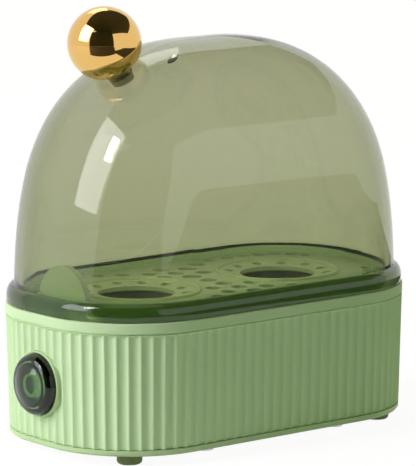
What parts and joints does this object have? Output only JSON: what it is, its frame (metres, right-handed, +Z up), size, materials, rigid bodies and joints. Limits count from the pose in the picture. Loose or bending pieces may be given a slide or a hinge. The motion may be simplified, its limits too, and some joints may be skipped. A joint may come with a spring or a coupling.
{
  "type": "egg cooker",
  "caption": "Small electric egg cooker: fluted base with heated water dish, push button, lift-out rack and smoked lid with ball knob.",
  "frame": {"origin": "on the table, under the middle of the footprint", "axes": "+X along the length from the power button's end to the cord outlet, +Y across the width, +Z up"},
  "size_m": [0.1318, 0.07, 0.1254],
  "materials": {
    "housing_plastic": "satin",
    "cover_plastic": "satin",
    "foot_rubber": "matte",
    "screw_steel": "satin",
    "dish_steel": "brushed",
    "seal_silicone": "matte",
    "cast_aluminium": "cast",
    "element_steel": "oxidised",
    "shield_steel": "galvanised",
    "phenolic": "moulded",
    "fuse_ceramic": "matte",
    "switch_nylon": "moulded",
    "lamp_lens": "frosted",
    "block_nylon": "moulded",
    "lead_brown": "satin",
    "lead_black": "satin",
    "lead_white": "braided",
    "lead_blue": "satin",
    "lead_green": "satin",
    "bush_rubber": "matte",
    "clamp_plastic": "satin",
    "button_acrylic": "gloss",
    "stem_plastic": "satin",
    "mark_paint": "gloss",
    "rack_plastic": "satin",
    "lid_acrylic": "gloss",
    "gold_plate": "polished"
  },
  "bodies": {
    "base": {"housing": "housing_plastic", "bottom_cover": "cover_plastic", "feet": "foot_rubber", "cover_screws": "screw_steel", "heating_dish": "dish_steel", "dish_seal": "seal_silicone", "heater_plate": "cast_aluminium", "heater_element": "element_steel", "heater_pins": "screw_steel", "heat_shield": "shield_steel", "shield_spacers": "screw_steel", "shield_screws": "screw_steel", "thermostat": "phenolic", "thermostat_screws": "screw_steel", "thermal_fuse": "fuse_ceramic", "fuse_clip": "screw_steel", "button_guide": "cover_plastic", "switch_body": "switch_nylon", "switch_bracket": "shield_steel", "bracket_screws": "screw_steel", "pilot_lamp": "lamp_lens", "terminal_block": "block_nylon", "terminal_screws": "screw_steel", "lead_live": "lead_brown", "lead_switched": "lead_black", "lead_fuse": "lead_white", "lead_neutral": "lead_blue", "lead_earth": "lead_green", "cord_bush": "bush_rubber", "cord_clamp": "clamp_plastic", "clamp_screws": "screw_steel"},
    "button": {"power_button": "button_acrylic", "button_stem": "stem_plastic", "button_mark": "mark_paint"},
    "rack": {"egg_rack": "rack_plastic"},
    "lid": {"lid_dome": "lid_acrylic", "lid_knob": "gold_plate", "knob_collar": "gold_plate", "knob_screw": "screw_steel", "knob_washer": "seal_silicone"}
  },
  "joints": [
    {"name": "button_press", "type": "slide", "parent": "base", "child": "button", "axis": [1, 0, 0], "range_m": [0, 0.0016], "stiffness_N_per_m": 500, "springref_m": -0.002},
    {"name": "rack_lift", "type": "slide", "parent": "base", "child": "rack", "axis": [0, 0, 1], "range_m": [0, 0.08]},
    {"name": "lid_lift", "type": "slide", "parent": "rack", "child": "lid", "axis": [0, 0, 1], "range_m": [0, 0.12]}
  ]
}
